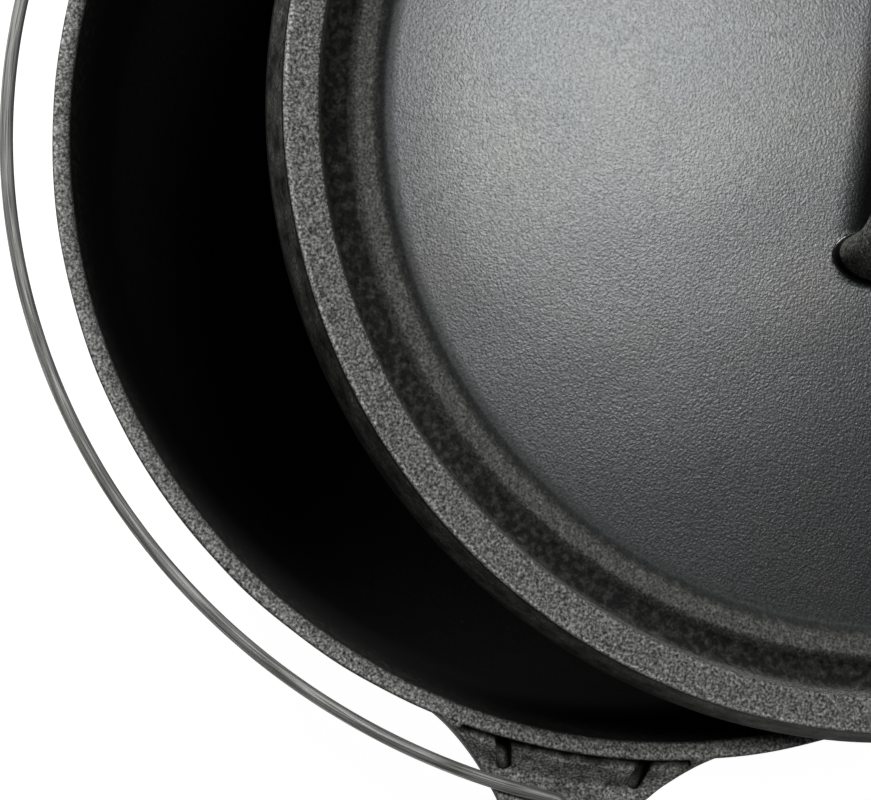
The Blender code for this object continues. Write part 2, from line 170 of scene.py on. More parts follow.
# White paper: a matte sheet that shows nearly white itself, so that only a soft shadow is left.
def whitePaper():
    made = bpy.data.materials.new("white_paper")
    made.use_nodes = True
    tree = made.node_tree
    tree.nodes.clear()
    seen = addNode(tree, "ShaderNodeLightPath", out="Is Camera Ray")
    rays = seen.node.outputs
    for ray in ("Is Glossy Ray", "Is Transmission Ray"):
        seen = addNode(tree, "ShaderNodeMath", {0: seen, 1: rays[ray]}, operation="MAXIMUM")
    strength = addNode(tree, "ShaderNodeMath", {0: seen, 1: studio["floorShown"]}, operation="MULTIPLY")
    glow = addNode(tree, "ShaderNodeEmission", {"Color": (1, 1, 1, 1), "Strength": strength})
    paper = addNode(tree, "ShaderNodeBsdfDiffuse", {"Color": linear(studio["floorColour"])})
    both = addNode(tree, "ShaderNodeAddShader", {0: glow, 1: paper})
    addNode(tree, "ShaderNodeOutputMaterial", {"Surface": both})
    return made


# Cast iron, poured in green sand and seasoned with oil: the sand leaves an even grain, and the
# baked oil a black sheen. It is rubbed to a dry grey on the raised edges, where single grains stand out,
# and made black in the hollows, inside, underneath and on steep sides: partly oil, partly painted shade.
# The mesh says where: how rubbed and how black, each from 0 to 1. Rubbed goes on past 1, up to a set
# limit,
# where the colour is painted brighter: polish with a painted highlight on outer edges, painted light on
# the ears.
castIronLook = {
    "seasoned": "#474848",
    "rubbed": "#6d6d6a",
    "dull": "#66655e",          # half rubbed, with a film of old oil
    "oilAndShade": "#171716",
    # black of thick oil and painted shade: it darkens hollows, the pot's inside, the lid's underside and
    # gutter, and steep sides
    "warm": "#525049",          # tints the oil where it is thick
    "edge": "#5a5a58",          # what iron mirrors where it curves away
    "seasonedMetal": 0.9,       # oil over iron mirrors like dull metal, dry iron scatters light
    "rubbedMetal": 0.3,
    "oilAndShadeMetal": 0.12,
    "seasonedRough": 0.30,
    "rubbedRough": 0.68,
    "oilAndShadeRough": 0.85,
    "grain": 0.60,              # mm, bumps of the sand's skin
    "seasonedDepth": 0.050,     # mm, where oil fills the grain
    "rubbedDepth": 0.14,        # mm, where it is bare
    "speck": 0.66,              # mm, bright grains where the skin is rubbed
    "seasonedSpecks": 0.6,      # how much they stand out
    "rubbedSpecks": 2.3,
    "buffAndHighlightAt": 1.5,
    "buffAndHighlightGain": 1.9,            # how much brighter a polished edge is painted: polish with a painted highlight, and painted light on the ears
    "blotch": 1.8,              # mm, how far the rubbing reaches
    "ragged": 0.8,
    "wornFrom": (0.15, 0.90),
    "cloud": 42.0,              # mm, uneven oil
    "cloudRange": (0.5, 0.75),
    "cloudShare": 0.3,
}


def castIron(name, look):
    made = bpy.data.materials.new(name)
    made.use_nodes = True
    tree = made.node_tree
    shader = tree.nodes["Principled BSDF"]
    place = addNode(tree, "ShaderNodeTexCoord", out="Object")
    pattern = {}
    for key, detail in (("grain", 1.0), ("speck", 1.0), ("blotch", 3.0), ("cloud", 3.0)):
        pattern[key] = addNode(tree, "ShaderNodeTexNoise", {
            "Vector": place,
            "Scale": 1 / (look[key] * mm),
            "Detail": detail,
        })
    rubbed = addNode(tree, "ShaderNodeAttribute", out="Fac", attribute_name="rubbed")
    oilAndShade = addNode(tree, "ShaderNodeAttribute", out="Fac", attribute_name="oilAndShade")

    # the rubbing ends raggedly
    reach = addNode(tree, "ShaderNodeMapRange", {
        "Value": pattern["blotch"],
        "To Min": -look["ragged"] / 2,
        "To Max": look["ragged"] / 2,
    })
    reached = addNode(tree, "ShaderNodeMath", {0: rubbed, 1: reach}, operation="ADD")
    worn = addNode(tree, "ShaderNodeMapRange", {
        "Value": reached,
        "From Min": look["wornFrom"][0],
        "From Max": look["wornFrom"][1],
    })

    # colour: oil, thicker in clouds, black where oil lies thick and where shade is painted, and iron where
    # it is worn
    thick = addNode(tree, "ShaderNodeMapRange", {
        "Value": pattern["cloud"],
        "From Min": look["cloudRange"][0],
        "From Max": look["cloudRange"][1],
        "To Max": look["cloudShare"],
    })
    layers = {key: linear(look[key]) for key in ("seasoned", "warm", "oilAndShade", "dull", "rubbed")}
    for key, share, under, over in (
        ("oil", thick, "seasoned", "warm"),
        ("below", oilAndShade, "oil", "oilAndShade"),
        ("bare", rubbed, "dull", "rubbed"),
        ("colour", worn, "below", "bare"),
    ):
        layers[key] = addNode(tree, "ShaderNodeMix", {
            "Factor": share,
            "A": layers[under],
            "B": layers[over],
        }, out="Result", data_type="RGBA")

    # single grains stand out where the skin is dry; where rubbed goes past 1 the colour is painted
    # brighter still, polish with a painted highlight on edges and painted light on the ears; the noise
    # lies about a half, so doubled it leaves the colour as it is on the whole
    contrast = addNode(tree, "ShaderNodeMapRange", {
        "Value": worn,
        "To Min": look["seasonedSpecks"],
        "To Max": look["rubbedSpecks"],
    })
    buffAndHighlight = addNode(tree, "ShaderNodeMapRange", {
        "Value": rubbed,
        "From Min": 1.0,
        "From Max": look["buffAndHighlightAt"],
        "To Min": 1.0,
        "To Max": look["buffAndHighlightGain"],
    })
    bright = pattern["speck"]
    for operation, amount in (("MULTIPLY", 2.0), ("POWER", contrast), ("MULTIPLY", buffAndHighlight)):
        bright = addNode(tree, "ShaderNodeMath", {0: bright, 1: amount}, operation=operation)
    shown = addNode(tree, "ShaderNodeVectorMath", {0: layers["colour"], 3: bright}, operation="SCALE")
    tree.links.new(shown, shader.inputs["Base Color"])

    for socket, word in (("Roughness", "Rough"), ("Metallic", "Metal")):
        level = look["seasoned" + word]
        for share, end in ((oilAndShade, "oilAndShade"), (worn, "rubbed")):
            level = addNode(tree, "ShaderNodeMapRange", {
                "Value": share,
                "To Min": level,
                "To Max": look[end + word],
            })
        tree.links.new(level, shader.inputs[socket])
    shader.inputs["Specular Tint"].default_value = linear(look["edge"])
    depth = addNode(tree, "ShaderNodeMapRange", {
        "Value": worn,
        "To Min": look["seasonedDepth"] * mm,
        "To Max": look["rubbedDepth"] * mm,
    })
    bumped = addNode(tree, "ShaderNodeBump", {
        "Strength": 1.0,
        "Height": pattern["grain"],
        "Distance": depth,
    })
    tree.links.new(bumped, shader.inputs["Normal"])
    return made


# Low-carbon steel wire, drawn through a die and left bare: the die scores it along its length,
# so it is streaked grey with a soft shine, and scale darkens the scores.
drawnSteelLook = {
    "bright": "#c8c7c4",
    "score": "#787773",
    "edge": "#8c8b88",          # what the steel turns to where it curves away
    "roughness": (0.66, 0.78),
    "streakLength": 14.0,       # mm
    "streakWidth": 0.34,        # mm
    "streakRange": (0.34, 0.66),
    "streakDepth": 0.04,        # mm
    "shineRange": (0.3, 0.7),   # of the same noise
}


def drawnSteel(look):
    made = bpy.data.materials.new("drawn_steel_wire")
    made.use_nodes = True
    tree = made.node_tree
    shader = tree.nodes["Principled BSDF"]
    # the mesh says how far along the wire a place is, and how far across it, two ways
    run = addNode(tree, "ShaderNodeAttribute", out="Vector", attribute_name="wireRun")
    perLength = 1 / (look["streakLength"] * mm)
    perWidth = 1 / (look["streakWidth"] * mm)
    place = addNode(tree, "ShaderNodeVectorMath", {
        0: run,
        1: (perLength, perWidth, perWidth),
    }, operation="MULTIPLY")
    streak = addNode(tree, "ShaderNodeTexNoise", {"Vector": place, "Scale": 1.0, "Detail": 2.0})
    tone = addNode(tree, "ShaderNodeValToRGB", {"Fac": streak})
    for end, position, key in zip(tone.node.color_ramp.elements, look["streakRange"], ("score", "bright")):
        end.position = position
        end.color = linear(look[key])
    shine = addNode(tree, "ShaderNodeMapRange", {
        "Value": streak,
        "From Min": look["shineRange"][0],
        "From Max": look["shineRange"][1],
        "To Min": look["roughness"][1],
        "To Max": look["roughness"][0],
    })
    scored = addNode(tree, "ShaderNodeBump", {
        "Strength": 1.0,
        "Distance": look["streakDepth"] * mm,
        "Height": streak,
    })
    shader.inputs["Metallic"].default_value = 1.0
    shader.inputs["Specular Tint"].default_value = linear(look["edge"])
    for socket, source in (("Base Color", tone), ("Roughness", shine), ("Normal", scored)):
        tree.links.new(source, shader.inputs[socket])
    return made


# Shaping helpers. An outline is a list of (a, b, radius) corners in mm.
shaping = {
    "arcStep": 0.4,             # mm, between points on a rounded corner
    "leastArc": 3,              # steps on the smallest one
    "ringGap": 2.5,             # mm, between points on a plain stretch
    "fineGap": 0.6,             # mm, where small forms follow each other
    "onAxis": 0.0001,           # mm, a smaller ring is a point on the axis
    "weld": 0.001,              # mm, points nearer than this are one
    "crease": radians(50.0),    # an edge that turns further stays sharp
}


def polar(radius, angle):
    return Vector((radius * cos(angle), radius * sin(angle)))


def rounded(outline, closed=False):
    points = []
    count = len(outline)
    for index, (a, b, radius) in enumerate(outline):
        here = Vector((a, b))
        if radius == 0 or (not closed and index in (0, count - 1)):
            points.append(here)
            continue
        back = (Vector(outline[index - 1][:2]) - here).normalized()
        ahead = (Vector(outline[(index + 1) % count][:2]) - here).normalized()
        half = back.angle(ahead) / 2
        middle = here + (back + ahead).normalized() * (radius / sin(half))
        start = here + back * (radius / tan(half)) - middle
        end = here + ahead * (radius / tan(half)) - middle
        sweep = start.angle_signed(end)
        steps = max(shaping["leastArc"], ceil(radius * abs(sweep) / shaping["arcStep"]))
        for step in range(steps + 1):
            points.append(middle + Matrix.Rotation(-sweep * step / steps, 2) @ start)
    return points


def spread(points, gap):
    filled = []
    for here, after in zip(points, points[1:]):
        pieces = max(1, round((after - here).length / gap))
        filled += [here.lerp(after, piece / pieces) for piece in range(pieces)]
    return filled + [points[-1]]


def cleanMesh(name, verts, faces):
    # points that meet are joined, and every face looks out
    mesh = bpy.data.meshes.new(name)
    mesh.from_pydata(verts, [], faces)
    work = bmesh.new()
    work.from_mesh(mesh)
    bmesh.ops.remove_doubles(work, verts=work.verts, dist=shaping["weld"] * mm)
    bmesh.ops.recalc_face_normals(work, faces=work.faces)
    work.to_mesh(mesh)
    work.free()
    return mesh


def ringFaces(rings, sides):
    # the skin between rings of equally many points, and a cap on either end
    faces = []
    for ring in range(rings - 1):
        for side in range(sides):
            here = ring * sides + side
            after = ring * sides + (side + 1) % sides
            faces.append((here, after, after + sides, here + sides))
    return faces + [list(range(sides)), list(range((rings - 1) * sides, rings * sides))]


def newPiece(name, mesh):
    made = bpy.data.objects.new(name, mesh)
    bpy.context.scene.collection.objects.link(made)
    return made


def spun(name, profile, turns):
    # profile: (radius, height) in mm, a ring, or from axis to axis
    verts, rings, faces = [], [], []
    for radius, height in profile:
        around = 1 if radius < shaping["onAxis"] else turns
        rings.append([len(verts) + step % around for step in range(turns)])
        for step in range(around):
            flat = polar(radius, 2 * pi * step / turns)
            verts.append((flat.x * mm, flat.y * mm, height * mm))
    pairs = list(zip(rings, rings[1:]))
    if profile[0][0] > shaping["onAxis"]:
        pairs.append((rings[-1], rings[0]))
    for low, high in pairs:
        for step in range(turns):
            after = (step + 1) % turns
            faces.append(list(dict.fromkeys((low[step], low[after], high[after], high[step]))))
    return newPiece(name, cleanMesh(name, verts, faces))


def pressed(name, outline, low, high, place):
    # an outline in mm, pushed out from one height to another
    count = len(outline)
    verts = [(p[0] * mm, p[1] * mm, z * mm) for z in (low, high) for p in outline]
    faces = [list(range(count)), list(range(count, 2 * count))]
    faces += [(i, (i + 1) % count, count + (i + 1) % count, count + i) for i in range(count)]
    made = newPiece(name, cleanMesh(name, verts, faces))
    made.data.transform(place)
    return made


def combined(target, tools, solver="EXACT"):
    # tools: (piece, "UNION", "DIFFERENCE" or "INTERSECT"); they are used up
    for tool, operation in tools:
        cut = target.modifiers.new(tool.name, "BOOLEAN")
        cut.operation = operation
        cut.solver = solver
        cut.object = tool
    applied(target)
    for tool, _ in tools:
        bpy.data.objects.remove(tool)
    return target


def applied(piece):
    graph = bpy.context.evaluated_depsgraph_get()
    mesh = bpy.data.meshes.new_from_object(piece.evaluated_get(graph))
    piece.modifiers.clear()
    piece.data = mesh
    return piece


def castSoft(piece, voxel, passes):
    # turns crisp joins into the rounded ones that a sand mould gives
    remesh = piece.modifiers.new("remesh", "REMESH")
    remesh.mode = "VOXEL"
    remesh.voxel_size = voxel * mm
    smooth = piece.modifiers.new("smooth", "SMOOTH")
    smooth.factor = 0.5
    smooth.iterations = passes
    return applied(piece)


def unevenCast(piece, amount, size):
    # a casting is never quite true: moves the skin by about amount, in waves of about size
    inward = 0.35                       # the waves go mostly inward, so that the piece keeps its size
    normals = [vertex.normal.copy() for vertex in piece.data.vertices]
    for vertex, normal in zip(piece.data.vertices, normals):
        wave = noise.noise(vertex.co / (size * mm)) - inward
        vertex.co += normal * (wave * amount * mm)
    piece.data.update()


def markShadeAndWear(piece, shadeAndWearAt):
    # the given function tells how rubbed a place of the casting is, and how black, from oil and painted
    # shade
    marks = [shadeAndWearAt(vertex.co / mm, vertex.normal) for vertex in piece.data.vertices]
    for index, name in enumerate(("rubbed", "oilAndShade")):
        layer = piece.data.attributes.new(name, "FLOAT", "POINT")
        layer.data.foreach_set("value", [mark[index] for mark in marks])


def ramp(value, low, high):
    return min(max((value - low) / (high - low), 0.0), 1.0)     # low may be the larger one


def layered(*layers):
    # each layer is a share, and the (rubbed, black of oil and painted shade) that it adds in full
    return [sum(share * mark[index] for share, mark in layers) for index in (0, 1)]


def finishPiece(piece, surface, body, node):
    piece.data.materials.clear()
    piece.data.materials.append(surface)
    piece.data.shade_smooth()
    piece.data.set_sharp_from_angle(angle=shaping["crease"])
    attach(piece, body)
    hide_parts(node)
    print(piece.name, "made:", len(piece.data.vertices), "points")


# Pot: the body is turned, the ears are cast on. Sizes in mm, the outer ones from the frame.
pot = {
    "rim": potHigh.y / mm,
    "height": potHigh.z / mm,
    "rimWidth": 4.5,
    "rimRound": 0.8,
    "mouthRound": 1.9,          # the inner corner is ground softer
    "collar": 6.0,
    "collarStep": 1.0,
    "collarRound": 0.6,
    "draft": radians(6.0),
    "floor": 5.5,
    "corner": 30.0,
    "turns": 360,
    "uneven": (0.16, 16.0),
}
pot["mouth"] = pot["rim"] - pot["rimWidth"]

# Bail: a bow whose two ends turn out through the eyes of the ears.
bail = {
    "wire": (bailHigh.z - bailLow.z) / mm,
    "middleGap": 11.1,          # rim to the wire's centre, at the middle
    "waistGap": 9.4,            # and where it comes closest
    "waistAngle": radians(57.0),
    "hookBend": 3.0,
    "hookLeg": 4.5,
    "hookTail": 3.5,
    "endRound": 0.5,
    "endSteps": 4,
    "bowSteps": 360,
    "bendSteps": 10,
    "sides": 28,
}


def bailRadius(angle):
    waist = cos(bail["waistAngle"])
    swell = (bail["middleGap"] - bail["waistGap"]) / (1 - waist) ** 2
    return pot["rim"] + bail["waistGap"] + swell * (cos(angle) - waist) ** 2


ear = {
    "rootAngle": radians(13.1),
    "rootSlope": radians(60.0),
    "tipSlope": radians(32.0),
    "rootPull": 8.0,
    "tipPull": 7.0,
    "shoulder": 15.2,
    "shoulderInset": 4.2,
    "tipRound": 4.0,
    "tipDepth": 5.0,
    "rootDepth": 15.0,
    "buriedDepth": 3.4,         # of the ear's inner side in the wall
    "rimStep": 0.3,
    "ramp": 7.0,
    "seatGap": 0.3,
    "eyeGap": 0.6,
    "eyeThick": 5.0,
    "eyeRadius": 6.0,
    "eyeHalfWidth": 8.0,
    "eyeSink": 1.5,
    "eyeSide": radians(12.0),
    "eyeSteps": 40,
    "eyeClearance": 0.5,
    "holeSpare": 0.1,           # the softening narrows the hole by about this
    "holeSides": 36,
    "grooveAngle": radians(10.8),
    "grooveWidth": 2.2,
    "grooveDepth": 3.6,         # below the rim
    "grooveOverlap": 1.5,       # its cutter runs this far into the wall, which the union fills again
    "slotOffset": 17.4,         # of each slot's inner end from the ear's axis
    "slotLength": 6.6,
    "slotOverlap": 2.5,         # the same for the slots' cutters
    "slotWidth": 3.1,
    "slotLean": radians(14.0),  # toward the axis, going out
    "slotDepth": 2.6,           # below the shelf
    "cutRound": 0.9,
    "patch": 3.5,               # size of the worn patches on top
    "shellThick": 2.6,          # of the wall behind the ear that the soft joins are worked out on
    "shellSink": 0.14,          # that wall lies this far under the real one
    "shellAngle": radians(19.0),
    "shellDrop": 9.0,           # it reaches this far below the ear's root
    "shellStop": 1.0,           # and ends this far below the rim
    "shellSteps": 30,
    "voxel": 0.42,
    "softPasses": 8,
    "reach": 25.0,              # cutters run this far past what they cut
}
ear["legX"] = bailRadius(pi / 2)
ear["eyeInner"] = ear["legX"] + bail["wire"] / 2 + ear["eyeGap"]
ear["eyeOuter"] = ear["eyeInner"] + ear["eyeThick"]
ear["tip"] = ear["eyeOuter"] + ear["seatGap"]
ear["shelf"] = hingeZ / mm - bail["wire"] / 2 - ear["seatGap"]
ear["top"] = pot["height"] - ear["rimStep"]


def wallRadius(top, drop):
    return top - drop * tan(pot["draft"])


def potProfile():
    collarFoot = pot["height"] - pot["collar"]
    wallTop = collarFoot - pot["collarStep"]
    wallRadiusTop = pot["rim"] - pot["collarStep"]
    floorRadius = wallRadius(pot["mouth"], pot["height"] - pot["floor"])
    outline = rounded([
        (0, 0, 0),
        (wallRadius(wallRadiusTop, wallTop), 0, pot["corner"]),
        (wallRadiusTop, wallTop, pot["collarRound"]),
        (pot["rim"], collarFoot, pot["collarRound"]),
        (pot["rim"], pot["height"], pot["rimRound"]),
        (pot["mouth"], pot["height"], pot["mouthRound"]),
        (floorRadius, pot["floor"], pot["corner"] - pot["rimWidth"]),
        (0, pot["floor"], 0),
    ])
    return spread(outline, shaping["ringGap"])


def earOutline():
    root = polar(pot["rim"], ear["rootAngle"])
    shoulder = Vector((ear["tip"] - ear["shoulderInset"], ear["shoulder"]))
    rootHold = root + ear["rootPull"] * Vector((cos(ear["rootSlope"]), -sin(ear["rootSlope"])))
    tipHold = shoulder - ear["tipPull"] * Vector((cos(ear["tipSlope"]), -sin(ear["tipSlope"])))
    steps = 24
    flank = []
    for step in range(steps + 1):
        t = step / steps
        point = root * (1 - t) ** 3 + rootHold * 3 * t * (1 - t) ** 2
        point += tipHold * 3 * t * t * (1 - t) + shoulder * t ** 3
        flank.append((point.x, point.y, 0))
    cornerY = ear["shoulder"] - ear["shoulderInset"] * tan(ear["tipSlope"])
    upper = flank + [(ear["tip"], cornerY, ear["tipRound"])]
    lower = [(x, -y, radius) for x, y, radius in reversed(upper)]
    # below the collar the wall leans away, so each flank runs on straight until it is buried
    buried = pot["rim"] - ear["buriedDepth"]
    onward = Vector((-cos(ear["rootSlope"]), sin(ear["rootSlope"])))
    lean = root.dot(onward)
    met = root - onward * (lean + sqrt(lean ** 2 - pot["rim"] ** 2 + buried ** 2))
    span = atan2(met.y, met.x)
    inner = [(*polar(buried, span * (2 * step / steps - 1)), 0) for step in range(steps + 1)]
    return rounded(inner + upper + lower, closed=True)


def grooveOutline():
    # its inner side lies in the pot's wall
    steps = 6                           # each step stays longer than the corners' arcs
    angles = [ear["grooveAngle"] * (2 * step / steps - 1) for step in range(steps + 1)]
    points = []
    outer = pot["rim"] + ear["grooveWidth"]
    inner = pot["rim"] - ear["grooveOverlap"]
    for radius, run, corner in ((outer, angles, ear["cutRound"]), (inner, angles[::-1], 0)):
        for angle in run:
            points.append((*polar(radius, angle), corner if angle in (run[0], run[-1]) else 0))
    return rounded(points, closed=True)


def slotOutline(side):
    along = Vector((cos(ear["slotLean"]), -side * sin(ear["slotLean"])))
    across = Vector((-along.y, along.x)) * (ear["slotWidth"] / 2)
    start = Vector((pot["rim"], side * ear["slotOffset"]))
    end = start + along * ear["slotLength"]
    start -= along * ear["slotOverlap"]
    return rounded([
        (*(start - across), 0),
        (*(end - across), ear["cutRound"]),
        (*(end + across), ear["cutRound"]),
        (*(start + across), 0),
    ], closed=True)


def shellSector():
    # the piece of wall behind the ear, a little under the real surface
    collarFoot = pot["height"] - pot["collar"]
    outer = pot["rim"] - ear["shellSink"]
    topZ = pot["height"] - ear["shellStop"]
    lowZ = ear["shelf"] - ear["rootDepth"] - ear["shellDrop"]
    lowRadius = wallRadius(pot["rim"] - pot["collarStep"], collarFoot - lowZ) - ear["shellSink"]
    thick = ear["shellThick"]
    section = [
        (lowRadius - thick, lowZ),
        (lowRadius, lowZ),
        (outer - pot["collarStep"], collarFoot - pot["collarStep"]),
        (outer, collarFoot),
        (outer, topZ),
        (outer - thick, topZ),
    ]
    steps = ear["shellSteps"]
    verts = []
    for step in range(steps + 1):
        angle = ear["shellAngle"] * (2 * step / steps - 1)
        for radius, height in section:
            flat = polar(radius, angle)
            verts.append((flat.x * mm, flat.y * mm, height * mm))
    return newPiece("ear_wall", cleanMesh("ear_wall", verts, ringFaces(steps + 1, len(section))))


def eyeOutline():
    # across and up from the wire's centre
    foot = ear["shelf"] - hingeZ / mm - ear["eyeSink"]
    points = [Vector((-ear["eyeHalfWidth"], foot)), Vector((ear["eyeHalfWidth"], foot))]
    for step in range(ear["eyeSteps"] + 1):
        angle = ear["eyeSide"] + (pi - 2 * ear["eyeSide"]) * step / ear["eyeSteps"]
        points.append(polar(ear["eyeRadius"], angle))
    return points


def earLump():
    # one ear on +X with its soft joins, made once and turned for the other side
    plain = Matrix.Identity(4)
    upright = Matrix(((0, 0, 1, 0), (1, 0, 0, 0), (0, 1, 0, hingeZ), (0, 0, 0, 1)))
    rootZ = ear["shelf"] - ear["rootDepth"]
    tipZ = ear["shelf"] - ear["tipDepth"]
    far = ear["tip"] + ear["reach"]
    above = pot["height"] + ear["reach"]
    block = pressed("ear", earOutline(), rootZ, ear["top"], plain)
    over = spun("ear_over", [
        (pot["rim"] + ear["seatGap"], ear["top"]),
        (pot["rim"] + ear["ramp"], ear["shelf"]),
        (far, ear["shelf"]),
        (far, above),
        (pot["rim"] + ear["seatGap"], above),
    ], pot["turns"])
    under = spun("ear_under", [
        (pot["mouth"], rootZ - ear["reach"]),
        (pot["mouth"], rootZ),
        (pot["rim"], rootZ),
        (ear["tip"], tipZ),
        (far, tipZ),
        (far, rootZ - ear["reach"]),
    ], pot["turns"])
    groove = pressed("ear_groove", grooveOutline(), pot["height"] - ear["grooveDepth"], above, plain)
    slotFloor = ear["shelf"] - ear["slotDepth"]
    slots = [pressed("ear_slot", slotOutline(side), slotFloor, above, plain) for side in (1, -1)]
    eye = pressed("ear_eye", eyeOutline(), ear["eyeInner"], ear["eyeOuter"], upright)
    bore = bail["wire"] / 2 + ear["eyeClearance"] + ear["holeSpare"]
    circle = [polar(bore, 2 * pi * step / ear["holeSides"]) for step in range(ear["holeSides"])]
    holeEnds = (ear["eyeInner"] - ear["eyeThick"], ear["eyeOuter"] + ear["eyeThick"])
    hole = pressed("ear_hole", circle, *holeEnds, upright)
    combined(block, [
        *((cutter, "DIFFERENCE") for cutter in (over, under, groove, *slots)),
        (eye, "UNION"),
        (hole, "DIFFERENCE"),
        (shellSector(), "UNION"),
    ])
    return castSoft(block, ear["voxel"], ear["softPasses"])


# Wear and painted shade on the pot, in mm. What ends in From or Facing is a pair: where it starts, and
# where it is full. A facing is how far up the skin faces, 0 on an upright wall and 1 on a level top.
# The other pairs are (rubbed, black of oil and painted shade).
potWearAndShade = {
    "rimSpare": 0.1,            # past the rim by more than this is an ear
    "rimFacing": (0.2, 0.9),
    "rimShade": 0.6,            # painted shade on the rim's steep skin
    "rimShadeFacing": (0.6, 0.1),
    "buffAndHighlight": 0.45,             # more rubbed along the rim's outer edge: polish and a painted highlight
    "polishFrom": (1.3, 0.8),   # in from that edge
    "mouthSpare": 0.2,
    "insideLean": 0.05,         # the wall faces up by more than this inside, and down outside
    # painted shade: the pot's inside is made black
    "inside": (0.0, 1.0),
    "near": (0.19, -0.15),      # added near the mouth: lighter, with less painted shade inside
    "nearFrom": (45.0, 10.0),   # below the rim
    "earSpare": 0.5,
    "slotSpare": 1.0,
    # rubbed past 1 on the ears: wear, and painted light against the shade they lie in
    "earWearAndLight": 1.4,
    "earFacing": (0.1, 0.7),
    "earPatch": 0.8,            # more or less, in patches
    "earDeepFrom": (0.5, 2.0),  # below the ear's skin, in its groove and slots
    "earShade": 0.7,            # painted shade there, and on its steep skin
    "earShadeFacing": (0.5, 0.1),
    "outside": (0.05, 0.3),
}


def shadeAndWearOnPot(place, normal):
    wear = potWearAndShade
    radius = place.xy.length
    if place.z > pot["height"] - pot["mouthRound"] and radius < pot["rim"] + wear["rimSpare"]:
        buffAndHighlight = wear["buffAndHighlight"] * ramp(pot["rim"] - radius, *wear["polishFrom"])
        shade = wear["rimShade"] * ramp(normal.z, *wear["rimShadeFacing"])
        return ramp(normal.z, *wear["rimFacing"]) + buffAndHighlight, shade
    if radius < pot["mouth"] + wear["mouthSpare"] and normal.z > wear["insideLean"]:
        near = ramp(pot["height"] - place.z, *wear["nearFrom"])
        return layered((1, wear["inside"]), (near, wear["near"]))
    lowest = ear["shelf"] - ear["slotDepth"] - wear["slotSpare"]
    if radius > pot["rim"] - wear["earSpare"] and place.z > lowest:
        slope = (ear["top"] - ear["shelf"]) / ear["ramp"]
        skin = max(ear["top"] - (radius - pot["rim"]) * slope, ear["shelf"])
        deep = ramp(skin - place.z, *wear["earDeepFrom"])
        patch = wear["earPatch"] * noise.noise(place / ear["patch"])
        rubbed = (wear["earWearAndLight"] + patch - deep) * ramp(normal.z, *wear["earFacing"])
        shade = wear["earShade"] * max(deep, ramp(normal.z, *wear["earShadeFacing"]))
        return min(rubbed, castIronLook["buffAndHighlightAt"]), shade
    return wear["outside"]


def makePot(iron):
    casting = spun("pot_casting", potProfile(), pot["turns"])
    right = earLump()
    left = newPiece("ear_left", right.data.copy())
    left.data.transform(Matrix.Rotation(pi, 4, "Z"))
    combined(casting, [(right, "UNION"), (left, "UNION")], "MANIFOLD")
    markShadeAndWear(casting, shadeAndWearOnPot)
    unevenCast(casting, *pot["uneven"])
    finishPiece(casting, iron, "pot", "pot_body")


# Lid: a turned casting with a raised edge, a bead and a low dome, and a cast loop.
lid = {
    "radius": pot["rim"] + 2.0,
    "draft": 3.1,
    "edge": 17.0,
    "edgeRound": 2.0,
    "topRound": 0.6,
    "band": 8.2,
    "bandRound": 0.6,
    "gutterDepth": 10.0,
    "gutterWidth": 9.0,
    "gutterSlope": 2.0,
    "gutterRound": 3.0,
    "beadWidth": 4.9,
    "beadHeight": 1.6,
    "beadRound": 1.7,
    "beadFoot": 1.1,            # its outer foot spreads into the gutter
    "beadFootRound": 2.5,
    "beadLean": 0.8,            # in to the crown's outer corner
    "beadFall": 0.3,            # of the crown, toward the floor
    "beadStep": 3.0,
    "floorRound": 3.0,
    "domeFrom": 0.96,           # where the dome starts, as a share of the floor's radius
    "domeRise": 5.0,
    "domeSteps": 48,
    "dishDepth": 6.0,
    "dishMargin": 5.0,
    "dishSteps": 24,
    "lipClearance": 2.0,
    "lipThick": 4.0,
    "lipHeight": 6.5,
    "lipRound": 0.6,
    "lipRootRound": 2.0,
    "shift": 52.1,
    "shiftAngle": radians(105.6),
    "turns": 360,
    "uneven": (0.07, 22.0),
    "patch": 5.0,               # size of the oily patches on its sloping edge
}
lid["top"] = lid["radius"] - lid["draft"]
lid["bandInner"] = lid["top"] - lid["band"]
lid["beadOuter"] = lid["bandInner"] - lid["gutterWidth"]
lid["floor"] = lid["beadOuter"] - lid["beadWidth"] - lid["beadStep"]
lid["gutterZ"] = lid["edge"] - lid["gutterDepth"]
lid["lip"] = pot["mouth"] - lid["lipClearance"]
lid["lipInner"] = lid["lip"] - lid["lipThick"]

loop = {
    "halfSpan": 36.0,
    "height": 26.0,
    "width": 15.0,
    "thick": 9.0,
    "shape": 0.6,               # 1 is a half round, less is squarer
    "flare": 0.35,
    "flarePower": 6,
    "sink": 3.0,
    "steps": 72,
    "sides": 36,
    "padRadius": 22.0,          # of the lid's skin under each foot that the soft joins are worked out on
    "padSides": 48,
    "padThick": 3.5,
    "padHeight": 12.0,          # before that skin cuts it off
    "padSink": 0.14,            # the skin lies this far under the real one
    "skinRadius": 90,
    "skinStep": 3,
    "skinDrop": 2.0,            # the middle of its underside lies this far below the pad
    "skinTurns": 180,
    "voxel": 0.55,
    "softPasses": 6,
}


def domeHeight(radius):
    return lid["gutterZ"] + lid["domeRise"] * (1 - (radius / lid["floor"]) ** 2)


